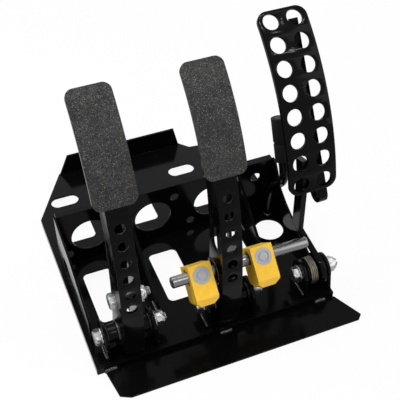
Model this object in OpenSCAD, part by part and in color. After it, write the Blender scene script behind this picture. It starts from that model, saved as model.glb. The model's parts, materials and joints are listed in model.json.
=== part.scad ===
// Floor-mounted pedal box with clutch, balance-bar brake and organ-style throttle pedals.
// X runs to the driver's right, Y towards the bulkhead, Z up. Lengths are in millimetres.
// The origin is the middle of the heel plate's underside.

/* [Frame] */
// Width of the floor tray
box_w = 226; // [210:1:260]
// Depth of the tray from its front fold to the back plate
deck_d = 126.5; // [120:0.5:160]
// Depth of the tail behind the back plate, up to the rear fold
tail_d = 123.5; // [110:0.5:150]
// Straight part of the tail's left and right edges
tail_side = 64; // [50:1:80]
// Height of the tray's top face above the ground
deck_h = 8; // [6:0.5:12]
// Thickness of the folded sheet
sheet_t = 2; // [1.5:0.25:3]
// Height of the back plate's top above the ground
back_h = 69; // [62:1:90]
// Depth of the flange folded back along the back plate's top
flange_d = 7; // [4:0.5:12]
// Height of the rear upstand's top above the ground
upstand_h = 31; // [20:1:45]
// Distance of the left side panel's outer face in from the tray's edge
panel_left_inset = 4; // [0:0.5:6]
// Distance of the right side panel's outer face in from the tray's edge
panel_right_inset = 3; // [2:0.5:6]
// Diameter of the lightening hole in the left side panel
panel_hole_d = 26; // [16:1:30]

/* [Heel plate] */
// Depth of the heel plate in front of the fold
heel_d = 32; // [24:1:60]
// How far the heel plate stops short of the tray's left edge
heel_left_in = 7; // [0:0.5:15]
// How far the heel plate passes the tray's right edge at the fold
heel_right_out = 1; // [0:0.5:15]
// Extra width that the heel plate gains on the right towards its front
heel_flare = 13; // [0:0.5:20]

/* [Floor openings] */
// Width of each floor window
win_w = 27.5; // [16:0.5:34]
// Distance between the middles of neighbouring floor windows
win_pitch = 65; // [60:0.5:70]
// Middle of the left-hand floor window, from the tray's left edge
win_left = 31.75; // [28:0.25:36]
// Depth of the front floor windows
win_d = 61; // [40:1:66]
// Depth of the floor windows behind the back plate
tail_win_d = 36; // [20:1:38]
// Corner radius of the floor windows
win_r = 5; // [2:0.5:8]
// Diameter of the round floor hole under the throttle
floor_hole_d = 28; // [16:1:30]
// End-to-end length of each mounting slot
slot_l = 28; // [20:1:34]
// Width of each mounting slot
slot_w = 14; // [8:0.5:16]
// Distance between the middles of the two mounting slots
slot_pitch = 127; // [110:1:135]

/* [Cylinder holes] */
// Bore for the nose of each master cylinder
cyl_bore_d = 36; // [28:1:40]
// Distance between the two studs of a master cylinder
stud_pitch = 57.15; // [52:0.05:60]
// Bore for each master cylinder stud
stud_d = 8.5; // [6:0.1:10]
// Tilt of the stud pairs from level
stud_tilt = 40; // [30:1:50]
// Height of the master cylinder axes at the back plate
cyl_h = 36; // [33:0.5:40]
// Bore for the throttle cable's adjuster
cable_d = 10; // [6:0.5:14]

/* [Pivots] */
// Height of the common pivot axis
pivot_h = 25; // [24:0.5:32]
// Distance of the pivot axis behind the front fold
pivot_setback = 19.5; // [18:0.5:26]
// Diameter of the pivot bolts
bolt_d = 8; // [6:0.5:10]
// Distance between the faces of the hexagon heads and nuts
hex_af = 13; // [11:0.5:17]
// Gap between the two ears of the clutch and brake pivots
ear_gap = 40; // [34:0.5:46]
// Gap between the two ears of the throttle pivot
throttle_ear_gap = 20; // [20:0.5:21]
// Thickness of the pivot ears
ear_t = 3; // [2:0.25:4]
// Outer diameter of the pivot tubes
tube_d = 16; // [14:0.5:20]

/* [Pedals] */
// Clutch pedal's middle, from the tray's left edge
clutch_in = 35; // [32:0.5:38]
// Distance between the clutch and brake pedals
pedal_pitch = 92; // [88:0.5:96]
// Width of the clutch and brake arms
arm_w = 18; // [16:0.5:24]
// Thickness of the folded arm sheet
arm_t = 2.5; // [1.5:0.25:3]
// Radius of the arms' front curve
arm_r = 300; // [240:5:400]
// Depth of the arm's sides near the pivot
arm_low_depth = 32; // [30:0.5:36]
// Depth of the arm's sides behind the pad
arm_top_depth = 20; // [14:0.5:24]
// Distance of the arm's front in front of the pivot axis
arm_front = 21.5; // [19:0.5:24]
// Diameter of the lightening holes in the arms
arm_hole_d = 9; // [5:0.5:11]
// Distance between neighbouring lightening holes
arm_hole_pitch = 16; // [14:0.5:20]
// Distance of the brake arm to the left of the middle of its pivot
brake_shift = 4.5; // [0:0.5:5]
// Radius of the curve of the arms behind the pads
pad_bend_r = 160; // [120:5:220]
// Width of the clutch and brake pads
pad_w = 35; // [30:1:60]
// Length of the clutch and brake pads along their curve
pad_l = 92; // [70:1:110]
// Thickness of the pad plates
pad_t = 3; // [2:0.5:4]
// Thickness of the grip sheets
grip_t = 0.8; // [0.5:0.1:1.5]
// Distance of the push rod axis above the pivot axis
rod_lever = 43.5; // [40:0.5:48]

/* [Balance bar] */
// Diameter of the balance bar
bar_d = 10; // [8:0.5:11]
// Distance between the two trunnions
trunnion_pitch = 56; // [54:0.5:62]
// Reach of the bar to the left of the brake pedal
bar_left = 52; // [48:0.5:56]
// Reach of the bar to the right of the brake pedal
bar_right = 74; // [60:0.5:76]
// Outer diameter of the trunnion barrels
barrel_d = 15; // [14:0.5:18]
// Width of the clevises
clevis_w = 20; // [18:0.5:22]
// Tilt of the trunnions and their clevises at rest, towards the driver
trunnion_tilt = 46; // [0:1:50]
// Thickness of each clevis cheek
cheek_t = 5; // [3:0.25:6]

/* [Throttle] */
// Throttle pad's middle, from the tray's left edge
throttle_in = 210; // [206:0.5:213]
// Width of the throttle pad
throttle_w = 44; // [38:1:50]
// Radius of the throttle pad's front curve
throttle_r = 195; // [180:1:230]
// Distance between the two columns of holes in the throttle pad
throttle_columns = 21; // [18:0.5:24]
// Diameter of the holes in the throttle pad
throttle_hole_d = 14; // [8:0.5:15]
// Distance between neighbouring holes along the throttle pad
throttle_pitch = 20; // [18:0.5:22]
// Number of rows of holes in the throttle pad
throttle_rows = 8; // [5:1:9]
// Thickness of the throttle pad
throttle_t = 3; // [2:0.5:4]
// Thickness of the throttle arm
throttle_arm_t = 5; // [4:0.5:6]
// Outer diameter of the throttle hub
throttle_hub_d = 22; // [18:0.5:24]
// Number of turns of the return spring
spring_turns = 4; // [2:1:4]
// Wire diameter of the return spring
spring_wire = 1.6; // [1.2:0.1:1.6]
// Diameter of the throttle stop's bar
stop_d = 8; // [6:0.5:10]
// Outer diameter of the throttle stop's sleeve
sleeve_d = 13; // [12:0.5:16]

/* [Fits] */
// Radial clearance of parts that turn on a pin
run_gap = 0.05; // [0.02:0.01:0.1]
// End clearance of parts that turn between two faces
end_gap = 0.3; // [0.2:0.05:0.5]
// Clearance of pieces that are pressed or welded together
seat_gap = 0.05; // [0.02:0.01:0.1]

/* [Hidden] */
$fn = 64;
eps = 0.01;

// Lines of the frame
left_x = -box_w / 2;
fold_y = heel_d / 2;
back_y = fold_y + deck_d;
rear_y = back_y + tail_d;
pivot_y = fold_y + pivot_setback;
panel_left_x = left_x + panel_left_inset;
panel_right_x = -left_x - panel_right_inset;
clutch_x = left_x + clutch_in;
brake_x = clutch_x + pedal_pitch;
brake_arm_x = brake_x - brake_shift;
throttle_x = left_x + throttle_in;
gusset_t = 3;
clutch_gusset_x = clutch_x + ear_gap / 2 + 15;
brake_gusset_x = brake_x + 1.425 * ear_gap;
clutch_gusset_foot = pivot_setback + 9;
brake_gusset_foot = 2.9 * pivot_setback;
gusset_drop = 5;
front_win_y = back_y - win_d / 2 - 20;
tail_win_y = back_y + sheet_t + tail_win_d / 2 + 21.5;
slot_y = back_y + tail_side + 18;
slot_x0 = left_x + 29.5;
floor_hole_x = brake_gusset_x + gusset_t / 2 + 20;
floor_hole_y = back_y - 32;

fold_left = left_x + 34.7;
fold_right = -left_x - 57;
tail_notch = 26;
upstand_left_cut = 10.8;
upstand_right_cut = 5.7;

// Middles of the master cylinders: clutch, then the brake pair
cyl_spread = trunnion_pitch + 4;
cyl_xs = [clutch_x, brake_x - cyl_spread / 2, brake_x + cyl_spread / 2];
cable_x = panel_right_x - 19.5;
cable_h = back_h - 18.5;

// Pivot stack
hex_d = hex_af / cos(30);
head_t = 0.68 * bolt_d;
nut_t = bolt_d;
washer_d = 2 * bolt_d;
washer_t = 1.6;
ear_r = pivot_h - deck_h - 4;
bush_wall = 2;
bush_flange_t = 1.5;
bush_d = bolt_d + 2 * run_gap + 2 * bush_wall;
bush_flange_d = tube_d - 1;
bush_l = 12;

// Arm curve: the front arc stands upright at the height of the push rod, and its middle lies behind
arc_z = pivot_h + 0.85 * rod_lever;
arc_y = pivot_y - arm_front + arm_r;
arm_foot = deck_h + 3;
arm_low_a = asin((pivot_h - arc_z) / arm_r);
pad_gap = 15;
hole_count = 6;
hole_a0 = 2.5;
hole_step_a = arm_hole_pitch / arm_r * 180 / PI;
pad_r = pad_bend_r + seat_gap + pad_t;
pad_a0 = hole_a0 + (hole_count - 1) * hole_step_a + (arm_hole_d / 2 + pad_gap) / arm_r * 180 / PI;
pad_a1 = pad_a0 + pad_l / pad_r * 180 / PI;
pad_bend_y = arc_y - (arm_r - pad_bend_r) * cos(pad_a0);
pad_bend_z = arc_z + (arm_r - pad_bend_r) * sin(pad_a0);
arm_top_a = pad_a1 - 5;
taper = (arm_low_depth - arm_top_depth) / (sin(pad_a0) - sin(arm_low_a));
back_r = arm_r - arm_low_depth - taper * sin(arm_low_a);
heel_r = pivot_h - deck_h - 1.5;
pad_corner_r = 7;
corner_steps = 8;

// Push rod axis and balance bar
rod_y = pivot_y - 2;
rod_h = pivot_h + rod_lever;
balance_tube_d = bar_d + 12;
balance_bore_d = bar_d + 8;
ball_d = bar_d + 5;
ring_l = 7;
barrel_l = 2 * cheek_t + bar_d + 5;
clevis_gap = bar_d + 5;
clevis_drop = 26;
clevis_top = clevis_w / 2 - 0.5;
clevis_bore_d = 8.5;
clevis_bore_l = 14;
rod_bolt_end = arm_w / 2 + nut_t + 4;

// Throttle curve, pad and arm
row_a = throttle_pitch / throttle_r * 180 / PI;
throttle_a0 = 13;
throttle_a1 = throttle_a0 + (throttle_rows - 1) * row_a;
throttle_end = throttle_hole_d / 2 + 2.5;
throttle_end_a = throttle_end / throttle_r * 180 / PI;
throttle_arc_y = pivot_y + throttle_r + 8.5;
throttle_arc_z = pivot_h + 98 - throttle_r * sin(throttle_a0);
throttle_back_r = throttle_r - throttle_t;
throttle_low_y = throttle_arc_y - throttle_back_r * cos(throttle_a0);
throttle_low_z = throttle_arc_z + throttle_back_r * sin(throttle_a0);
arm_rib = 12;
arm_x = throttle_x - throttle_columns / 4;
arm_top_h = throttle_low_z - 17;
arm_bend_h = (pivot_h + arm_top_h) / 2;
hub_x = throttle_x + 2;
hub_l = throttle_ear_gap - 2 * end_gap - 2 * bush_flange_t;
arm_foot_x = hub_x + hub_l / 2 - throttle_arm_t / 2 - 0.5;
arm_foot_y = pivot_y;
arm_bend_y = pivot_y + 21.5;
arm_top_y = throttle_low_y + 6;
arm_bar_d = 12;
spring_r = throttle_hub_d / 2 + spring_wire / 2 + 0.3;
spring_pitch = spring_wire + 0.15;
spring_x0 = hub_x - hub_l / 2 + spring_wire / 2 + 0.4;
spring_steps = 14;
spring_leg = 20;

// Throttle stop: its route from the tray to its top end
stop_x = throttle_x - 8;
stop_foot = [panel_right_x - sheet_t - stop_d / 2 - 3, back_y - stop_d / 2 - 6, deck_h];
stop_low = stop_foot + [0, 0, 70];
stop_high = [stop_x, throttle_low_y + 36.6, throttle_low_z - 8.8];
stop_top = stop_high + [0, 16, 40];
stop_mid = stop_high - 0.9 * (stop_top - stop_high);
stop_steps = 14;

// A profile drawn in (Y, Z), made a solid of width w across X
module across(w) {
    rotate([90, 0, 90])
        linear_extrude(w, center = true)
            children();
}

// A round bar along X, from x0 to x1
module x_rod(d, x0, x1) {
    translate([x0, 0, 0])
        rotate([0, 90, 0])
            cylinder(d = d, h = x1 - x0);
}

// A hexagon prism along X
module x_hex(x0, x1) {
    translate([x0, 0, 0])
        rotate([0, 90, 0])
            cylinder(d = hex_d, h = x1 - x0, $fn = 6);
}

// A ring along X
module x_ring(d_out, d_in, x0, x1) {
    difference() {
        x_rod(d_out, x0, x1);
        x_rod(d_in, x0 - 1, x1 + 1);
    }
}

// A flat rectangle with round corners, centred
module round_rect(w, l, r) {
    square([w - 2 * r, l], center = true);
    square([w, l - 2 * r], center = true);
    for (sx = [-1, 1], sy = [-1, 1])
        translate([sx * (w / 2 - r), sy * (l / 2 - r)])
            circle(r);
}

// A flat slot along X, centred
module slot(l, w) {
    square([l - w, w], center = true);
    for (s = [-1, 1])
        translate([s * (l - w) / 2, 0])
            circle(d = w);
}

// Direction of a route at its point i
function route_dir(points, i) =
    let (a = points[max(i - 1, 0)], b = points[min(i + 1, len(points) - 1)])
    (b - a) / norm(b - a);

// A point on the skin of a wire of diameter d, at point i of its route and at angle t round it
function wire_vertex(points, d, i, t) =
    let (dir = route_dir(points, i),
        side = [1, 0, 0] - dir * dir[0],
        u = side / norm(side),
        v = cross(dir, u))
    points[i] + d / 2 * (cos(t) * u + sin(t) * v);

// A wire of diameter d swept along a list of points
module wire(points, d, sides) {
    n = len(points);
    skin = [for (i = [0:n - 1], k = [0:sides - 1]) wire_vertex(points, d, i, k * 360 / sides)];
    walls = [for (i = [0:n - 2], k = [0:sides - 1]) [
        i * sides + k,
        i * sides + (k + 1) % sides,
        (i + 1) * sides + (k + 1) % sides,
        (i + 1) * sides + k]];
    start = [for (k = [sides - 1:-1:0]) k];
    end = [for (k = [0:sides - 1]) (n - 1) * sides + k];
    polyhedron(skin, concat(walls, [start, end]));
}

// A point on the smooth curve from a to d that leaves a towards b and reaches d from c
function curve_point(a, b, c, d, t) =
    pow(1 - t, 3) * a + 3 * pow(1 - t, 2) * t * b + 3 * (1 - t) * t * t * c + pow(t, 3) * d;

// Places its children at the pivot axis, at x
module at_pivot(x) {
    translate([x, pivot_y, pivot_h])
        children();
}

// Places its children on the push rod axis, at x
module at_rod(x) {
    translate([x, rod_y, rod_h])
        children();
}

// Places its children on the push rod axis, at x, tilted as the trunnions are
module at_trunnion(x) {
    at_rod(x)
        rotate([-trunnion_tilt, 0, 0])
            children();
}

// A sector of a ring in (Y, Z) whose middle is at (cy, cz), seen from the driver: from angle a0 up to a1
module front_band(cy, cz, r_out, r_in, a0, a1) {
    reach = 2 * r_out;
    translate([cy, cz])
        difference() {
            circle(r_out, $fn = 200);
            circle(r_in, $fn = 200);
            rotate(180 - a0)
                translate([-reach, 0])
                    square([2 * reach, reach]);
            rotate(180 - a1)
                translate([-reach, -reach])
                    square([2 * reach, reach]);
        }
}

// Points of the rounded corner, of radius r, of a plate w wide; its ends pass the plate's edges a little
function corner_arc(w, r) = [for (i = [0:corner_steps])
    let (t = i * 90 / corner_steps)
    [w / 2 - r + (r + seat_gap) * cos(t), r - (r + seat_gap) * sin(t)]];

// What is cut from the two corners at one end of a plate w wide, whose inside lies at positive Y
module corner_cuts(w, r) {
    for (s = [-1, 1])
        polygon([for (p = concat([[w / 2 + 1, -1], [w / 2 + 1, r]], corner_arc(w, r), [[w / 2 - r, -1]]))
            [s * p[0], p[1]]]);
}

// A curved plate w wide that follows the arc from angle a0 up to a1, with rounded corners
module curved_plate(cy, cz, r_out, r_in, a0, a1, w, corner) {
    wall = r_out - r_in;
    difference() {
        across(w)
            front_band(cy, cz, r_out, r_in, a0, a1);
        for (end = [[a0, 0], [a1, 180]])
            translate([0, cy, cz])
                rotate([90 - end[0], 0, 0])
                    translate([0, 0, r_in - 2 * wall])
                        linear_extrude(5 * wall)
                            rotate(end[1])
                                corner_cuts(w, corner);
    }
}

// Outline of the floor tray with its tail, from above
module tray_outline() {
    polygon([
        [left_x, fold_y],
        [-left_x, fold_y],
        [-left_x, back_y + tail_side],
        [-left_x - tail_notch, rear_y - 13],
        [fold_right + 9, rear_y - 10],
        [fold_right, rear_y],
        [fold_left, rear_y],
        [left_x, back_y + tail_side]]);
}

// Openings of the floor tray, from above
module tray_openings() {
    for (i = [0:2]) {
        translate([left_x + win_left + i * win_pitch, front_win_y])
            round_rect(win_w, win_d, win_r);
        translate([left_x + win_left + i * win_pitch, tail_win_y])
            round_rect(win_w, tail_win_d, win_r);
    }
    for (i = [0, 1])
        translate([slot_x0 + i * slot_pitch, slot_y])
            slot(slot_l, slot_w);
}

module floor_tray() {
    lip_l = deck_d + tail_side;
    color([0.05, 0.05, 0.055]) {
        difference() {
            translate([0, 0, deck_h - sheet_t])
                linear_extrude(sheet_t)
                    difference() {
                        tray_outline();
                        tray_openings();
                    }
            translate([floor_hole_x, floor_hole_y, 0])
                cylinder(d = floor_hole_d, h = 2 * deck_h);
        }
        translate([left_x, fold_y, 0])
            cube([box_w, sheet_t, deck_h]);
        for (x = [left_x, -left_x - sheet_t])
            translate([x, fold_y, 0])
                cube([sheet_t, lip_l, deck_h]);
        translate([0, rear_y, deck_h - sheet_t])
            rotate([90, 0, 0])
                linear_extrude(sheet_t)
                    polygon([
                        [fold_left, 0],
                        [fold_right, 0],
                        [fold_right - upstand_right_cut, upstand_h - deck_h + sheet_t],
                        [fold_left + upstand_left_cut, upstand_h - deck_h + sheet_t]]);
    }
}

module heel_plate() {
    cut = 9;
    drop = 4.5;
    color([0.05, 0.05, 0.055])
        linear_extrude(sheet_t)
            polygon([
                [left_x + heel_left_in, fold_y],
                [left_x + heel_left_in + 4, -fold_y + drop],
                [left_x + heel_left_in + 4 + cut, -fold_y],
                [-left_x + heel_right_out + heel_flare - cut / 2, -fold_y],
                [-left_x + heel_right_out + heel_flare, -fold_y + drop],
                [-left_x + heel_right_out, fold_y]]);
}

module back_plate() {
    x0 = panel_left_x + sheet_t;
    x1 = panel_right_x - sheet_t;
    color([0.05, 0.05, 0.055])
        difference() {
            union() {
                translate([x0, back_y, deck_h])
                    cube([x1 - x0, sheet_t, back_h - deck_h]);
                translate([x0, back_y, back_h - sheet_t])
                    cube([x1 - x0, flange_d, sheet_t]);
            }
            translate([0, back_y - 1, 0])
                rotate([-90, 0, 0]) {
                    for (x = cyl_xs) {
                        translate([x, -cyl_h, 0]) {
                            cylinder(d = cyl_bore_d, h = sheet_t + 2);
                            for (s = [0, 180])
                                rotate(s - stud_tilt)
                                    translate([stud_pitch / 2, 0, 0])
                                        cylinder(d = stud_d, h = sheet_t + 2);
                        }
                    }
                    translate([cable_x, -cable_h, 0])
                        cylinder(d = cable_d, h = sheet_t + 2);
                }
        }
}

module left_side_panel() {
    front = fold_y + 28.5;
    color([0.05, 0.05, 0.055])
        translate([panel_left_x + sheet_t / 2, 0, 0])
            difference() {
                across(sheet_t)
                    polygon([
                        [front, deck_h],
                        [front + 2.5, deck_h + 26],
                        [back_y - 44, back_h - 9],
                        [back_y + sheet_t, back_h],
                        [back_y + sheet_t, deck_h]]);
                translate([-sheet_t, back_y - 27, deck_h + panel_hole_d / 2 + 5])
                    x_rod(panel_hole_d, 0, 2 * sheet_t);
            }
}

module right_side_panel() {
    front = pivot_y + ear_r + 5;
    color([0.05, 0.05, 0.055])
        translate([panel_right_x - sheet_t / 2, 0, 0])
            across(sheet_t)
                polygon([
                    [front, deck_h],
                    [front, deck_h + 8],
                    [fold_y + 0.6 * deck_d, deck_h + 21],
                    [fold_y + 0.75 * deck_d, deck_h + 29],
                    [fold_y + 0.85 * deck_d, deck_h + 37],
                    [back_y - 4, back_h],
                    [back_y + sheet_t, back_h],
                    [back_y + sheet_t, deck_h]]);
}

// A triangular stiffener between the tray and the back plate
module gusset(x, foot) {
    color([0.05, 0.05, 0.055])
        translate([x, 0, 0])
            across(gusset_t)
                polygon([
                    [fold_y + foot, deck_h],
                    [back_y, back_h - gusset_drop],
                    [back_y, deck_h]]);
}

module clutch_gusset() {
    gusset(clutch_gusset_x, clutch_gusset_foot);
}

module brake_gusset() {
    gusset(brake_gusset_x, brake_gusset_foot);
}

// A pair of pivot ears, one each side of x
module ears(x, gap) {
    foot_w = ear_r + 3;
    color([0.05, 0.05, 0.055])
        for (s = [-1, 1])
            at_pivot(x + s * (gap + ear_t) / 2)
                difference() {
                    union() {
                        across(ear_t)
                            polygon([
                                [-foot_w, deck_h - pivot_h],
                                [foot_w, deck_h - pivot_h],
                                [ear_r, 0],
                                [-ear_r, 0]]);
                        x_rod(2 * ear_r, -ear_t / 2, ear_t / 2);
                    }
                    x_rod(bolt_d + 2 * run_gap, -ear_t, ear_t);
                }
}

module clutch_ears() {
    ears(clutch_x, ear_gap);
}

module brake_ears() {
    ears(brake_x, ear_gap);
}

module throttle_ears() {
    ears(hub_x, throttle_ear_gap);
}

// A pivot bolt whose head stands outside the left ear
module pivot_bolt(gap) {
    grip = gap / 2 + ear_t + washer_t;
    x_hex(-grip - head_t, -grip);
    x_rod(bolt_d, -grip - eps, grip + nut_t + 2);
}

module pedal_pivot_bolts() {
    color([0.75, 0.76, 0.78])
        for (x = [clutch_x, brake_x])
            at_pivot(x)
                pivot_bolt(ear_gap);
}

module throttle_pivot_bolt() {
    color([0.75, 0.76, 0.78])
        at_pivot(hub_x)
            pivot_bolt(throttle_ear_gap);
}

module pivot_nuts() {
    color([0.75, 0.76, 0.78])
        for (p = [[clutch_x, ear_gap], [brake_x, ear_gap], [hub_x, throttle_ear_gap]])
            at_pivot(p[0])
                difference() {
                    x_hex(p[1] / 2 + ear_t + washer_t, p[1] / 2 + ear_t + washer_t + nut_t);
                    x_rod(bolt_d + 2 * seat_gap, 0, p[1] + nut_t);
                }
}

module pivot_washers() {
    color([0.75, 0.76, 0.78])
        for (p = [[clutch_x, ear_gap], [brake_x, ear_gap], [hub_x, throttle_ear_gap]], s = [-1, 1])
            at_pivot(p[0] + s * (p[1] / 2 + ear_t + washer_t / 2))
                x_ring(washer_d, bolt_d + 2 * seat_gap, -washer_t / 2, washer_t / 2);
}

// Side profile of a pedal arm in (Y, Z)
module arm_profile() {
    intersection() {
        difference() {
            front_band(arc_y, arc_z, arm_r, arm_r / 2, -20, pad_a0);
            translate([arc_y, arc_z + taper])
                circle(back_r, $fn = 200);
        }
        union() {
            translate([0, pivot_h])
                square([arm_r, arm_r]);
            translate([0, arm_foot])
                square([pivot_y, pivot_h - arm_foot + eps]);
            translate([pivot_y, pivot_h])
                circle(heel_r);
        }
    }
    front_band(pad_bend_y, pad_bend_z, pad_bend_r, pad_bend_r - arm_top_depth, pad_a0 - seat_gap, arm_top_a);
}

// A folded channel arm at x, with its row of lightening holes and the bores of its cross tubes
module pedal_arm(x, rod_bore) {
    slot_y0 = pivot_y - arm_front + arm_low_depth / 2 + 5;
    color([0.05, 0.05, 0.055])
        translate([x, 0, 0])
            difference() {
                across(arm_w)
                    arm_profile();
                across(arm_w - 2 * arm_t) {
                    translate([arc_y, arc_z])
                        circle(arm_r - arm_t, $fn = 200);
                    translate([pad_bend_y, pad_bend_z])
                        circle(pad_bend_r - arm_t, $fn = 200);
                }
                for (i = [0:hole_count - 1])
                    translate([0, arc_y, arc_z])
                        rotate([90 - hole_a0 - i * hole_step_a, 0, 0])
                            translate([0, 0, arm_r - 3 * arm_t])
                                cylinder(d = arm_hole_d, h = 6 * arm_t);
                translate([0, slot_y0, rod_h + 47])
                    rotate([-10, 0, 0])
                        across(2 * arm_w)
                            rotate(90)
                                slot(40, 12);
                at_pivot(0)
                    x_rod(tube_d + 2 * seat_gap, -arm_w, arm_w);
                at_rod(0)
                    x_rod(rod_bore, -arm_w, arm_w);
            }
}

// A curved pad plate at x
module pad_plate(x) {
    color([0.05, 0.05, 0.055])
        translate([x, 0, 0])
            curved_plate(pad_bend_y, pad_bend_z, pad_r, pad_bend_r + seat_gap, pad_a0, pad_a1,
                pad_w, pad_corner_r);
}

// A sheet of grip on the front of a pad
module grip(x) {
    color([0.2, 0.2, 0.21])
        translate([x, 0, 0])
            curved_plate(pad_bend_y, pad_bend_z, pad_r + seat_gap + grip_t, pad_r + seat_gap,
                pad_a0, pad_a1, pad_w, pad_corner_r);
}

// A pivot tube at x that turns on its bushes
module pivot_tube(x, gap, d) {
    half = gap / 2 - end_gap - bush_flange_t;
    at_pivot(x)
        x_ring(d, bush_d + 2 * seat_gap, -half, half);
}

// The two flanged bushes of a pivot tube
module bushes(x, gap, l) {
    half = gap / 2 - end_gap;
    color([0.06, 0.06, 0.06])
        for (s = [-1, 1])
            at_pivot(x)
                rotate([0, 0, s > 0 ? 0 : 180])
                    difference() {
                        union() {
                            x_rod(bush_d, half - bush_flange_t - l, half);
                            x_rod(bush_flange_d, half - bush_flange_t, half);
                        }
                        x_rod(bolt_d + 2 * run_gap, 0, gap);
                    }
}

module clutch_arm() {
    pedal_arm(clutch_x, bolt_d + 2 * seat_gap);
}

module clutch_pad_plate() {
    pad_plate(clutch_x);
}

module clutch_grip() {
    grip(clutch_x);
}

module clutch_pivot_tube() {
    color([0.08, 0.08, 0.085])
        pivot_tube(clutch_x, ear_gap, tube_d);
}

module clutch_bushes() {
    bushes(clutch_x, ear_gap, bush_l);
}

module clutch_rod_bolt() {
    color([0.75, 0.76, 0.78])
        at_rod(clutch_x) {
            x_hex(-arm_w / 2 - head_t, -arm_w / 2);
            x_rod(bolt_d, -arm_w / 2 - eps, rod_bolt_end);
        }
}

module clutch_rod_nut() {
    color([0.75, 0.76, 0.78])
        at_rod(clutch_x)
            difference() {
                x_hex(arm_w / 2, arm_w / 2 + nut_t);
                x_rod(bolt_d + 2 * seat_gap, 0, arm_w + nut_t);
            }
}

module brake_arm() {
    pedal_arm(brake_arm_x, balance_tube_d + 2 * seat_gap);
}

module brake_pad_plate() {
    pad_plate(brake_arm_x);
}

module brake_grip() {
    grip(brake_arm_x);
}

module brake_pivot_tube() {
    color([0.08, 0.08, 0.085])
        pivot_tube(brake_x, ear_gap, tube_d);
}

module brake_bushes() {
    bushes(brake_x, ear_gap, bush_l);
}

module balance_tube() {
    color([0.08, 0.08, 0.085])
        at_rod(brake_arm_x)
            x_ring(balance_tube_d, balance_bore_d, -arm_w / 2 - 1, arm_w / 2 + 1);
}

module bearing_ring() {
    color([0.7, 0.7, 0.72])
        at_rod(brake_arm_x)
            rotate([0, 90, 0])
                rotate_extrude()
                    difference() {
                        translate([bar_d / 2 + 1, -ring_l / 2])
                            square([balance_bore_d / 2 - seat_gap - bar_d / 2 - 1, ring_l]);
                        circle(d = ball_d + 2 * run_gap);
                    }
}

module bearing_ball() {
    color([0.8, 0.8, 0.82])
        at_rod(brake_arm_x)
            rotate([0, 90, 0])
                rotate_extrude()
                    intersection() {
                        circle(d = ball_d);
                        translate([bar_d / 2 + seat_gap, -ring_l / 2 - 1])
                            square([ball_d, ring_l + 2]);
                    }
}

module balance_bar() {
    chamfer = 1;
    color([0.78, 0.79, 0.8])
        at_rod(brake_x) {
            x_rod(bar_d, -bar_left + chamfer, bar_right - chamfer);
            translate([-bar_left, 0, 0])
                rotate([0, 90, 0])
                    cylinder(d1 = bar_d - 2 * chamfer, d2 = bar_d, h = chamfer + eps);
            translate([bar_right - chamfer - eps, 0, 0])
                rotate([0, 90, 0])
                    cylinder(d1 = bar_d, d2 = bar_d - 2 * chamfer, h = chamfer + eps);
        }
}

// A trunnion barrel: it lies across the bar, which passes through its middle
module barrel(x) {
    groove = 0.8;
    color([0.78, 0.79, 0.8])
        at_trunnion(x)
            difference() {
                rotate([90, 0, 0])
                    cylinder(d = barrel_d, h = barrel_l, center = true);
                x_rod(bar_d + 2 * run_gap, -barrel_d, barrel_d);
                for (s = [-1, 1])
                    translate([0, s * barrel_l / 2, 0])
                        rotate([90, 0, 0])
                            difference() {
                                cylinder(d = barrel_d - 5, h = 2 * groove, center = true);
                                cylinder(d = barrel_d - 8, h = 4 * groove, center = true);
                            }
            }
}

// A clevis block round its barrel, with a tunnel for the bar and a bore for the push rod in its lower end
module clevis(x) {
    depth = clevis_gap + 2 * cheek_t;
    cut = 4;
    bevel = 6;
    color([0.85, 0.6, 0.05])
        at_trunnion(x)
            difference() {
                intersection() {
                    rotate([90, 0, 0])
                        linear_extrude(depth, center = true)
                            polygon([
                                [-clevis_w / 2, clevis_top],
                                [clevis_w / 2, clevis_top],
                                [clevis_w / 2, -clevis_drop + cut],
                                [clevis_w / 2 - cut, -clevis_drop],
                                [-clevis_w / 2 + cut, -clevis_drop],
                                [-clevis_w / 2, -clevis_drop + cut]]);
                    across(2 * clevis_w)
                        polygon([
                            [-depth / 2, clevis_w],
                            [depth / 2, clevis_w],
                            [depth / 2, -clevis_drop + bevel],
                            [depth / 2 - bevel, -clevis_drop],
                            [-depth / 2 + bevel, -clevis_drop],
                            [-depth / 2, -clevis_drop + bevel]]);
                }
                x_rod(clevis_gap, -clevis_w, clevis_w);
                rotate([90, 0, 0])
                    cylinder(d = barrel_d + 2 * run_gap, h = 2 * depth, center = true);
                translate([0, 0, -clevis_drop - 1])
                    cylinder(d = clevis_bore_d, h = clevis_bore_l + 1);
            }
}

module left_barrel() {
    barrel(brake_x - trunnion_pitch / 2);
}

module right_barrel() {
    barrel(brake_x + trunnion_pitch / 2);
}

module left_clevis() {
    clevis(brake_x - trunnion_pitch / 2);
}

module right_clevis() {
    clevis(brake_x + trunnion_pitch / 2);
}

module throttle_pad() {
    color([0.05, 0.05, 0.055])
        translate([throttle_x, 0, 0])
            difference() {
                curved_plate(throttle_arc_y, throttle_arc_z, throttle_r, throttle_back_r,
                    throttle_a0 - throttle_end_a, throttle_a1 + throttle_end_a, throttle_w, throttle_end);
                for (i = [0:throttle_rows - 1], s = [-1, 1])
                    translate([s * throttle_columns / 2, throttle_arc_y, throttle_arc_z])
                        rotate([90 - throttle_a0 - i * row_a, 0, 0])
                            translate([0, 0, throttle_r - 3 * throttle_t])
                                cylinder(d = throttle_hole_d, h = 6 * throttle_t);
            }
}

// A square-cut piece of the throttle arm at (x, y, z)
module arm_cut(x, y, z) {
    translate([x - throttle_arm_t / 2, y - arm_bar_d / 2, z - 1])
        cube([throttle_arm_t, arm_bar_d, 2]);
}

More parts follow.
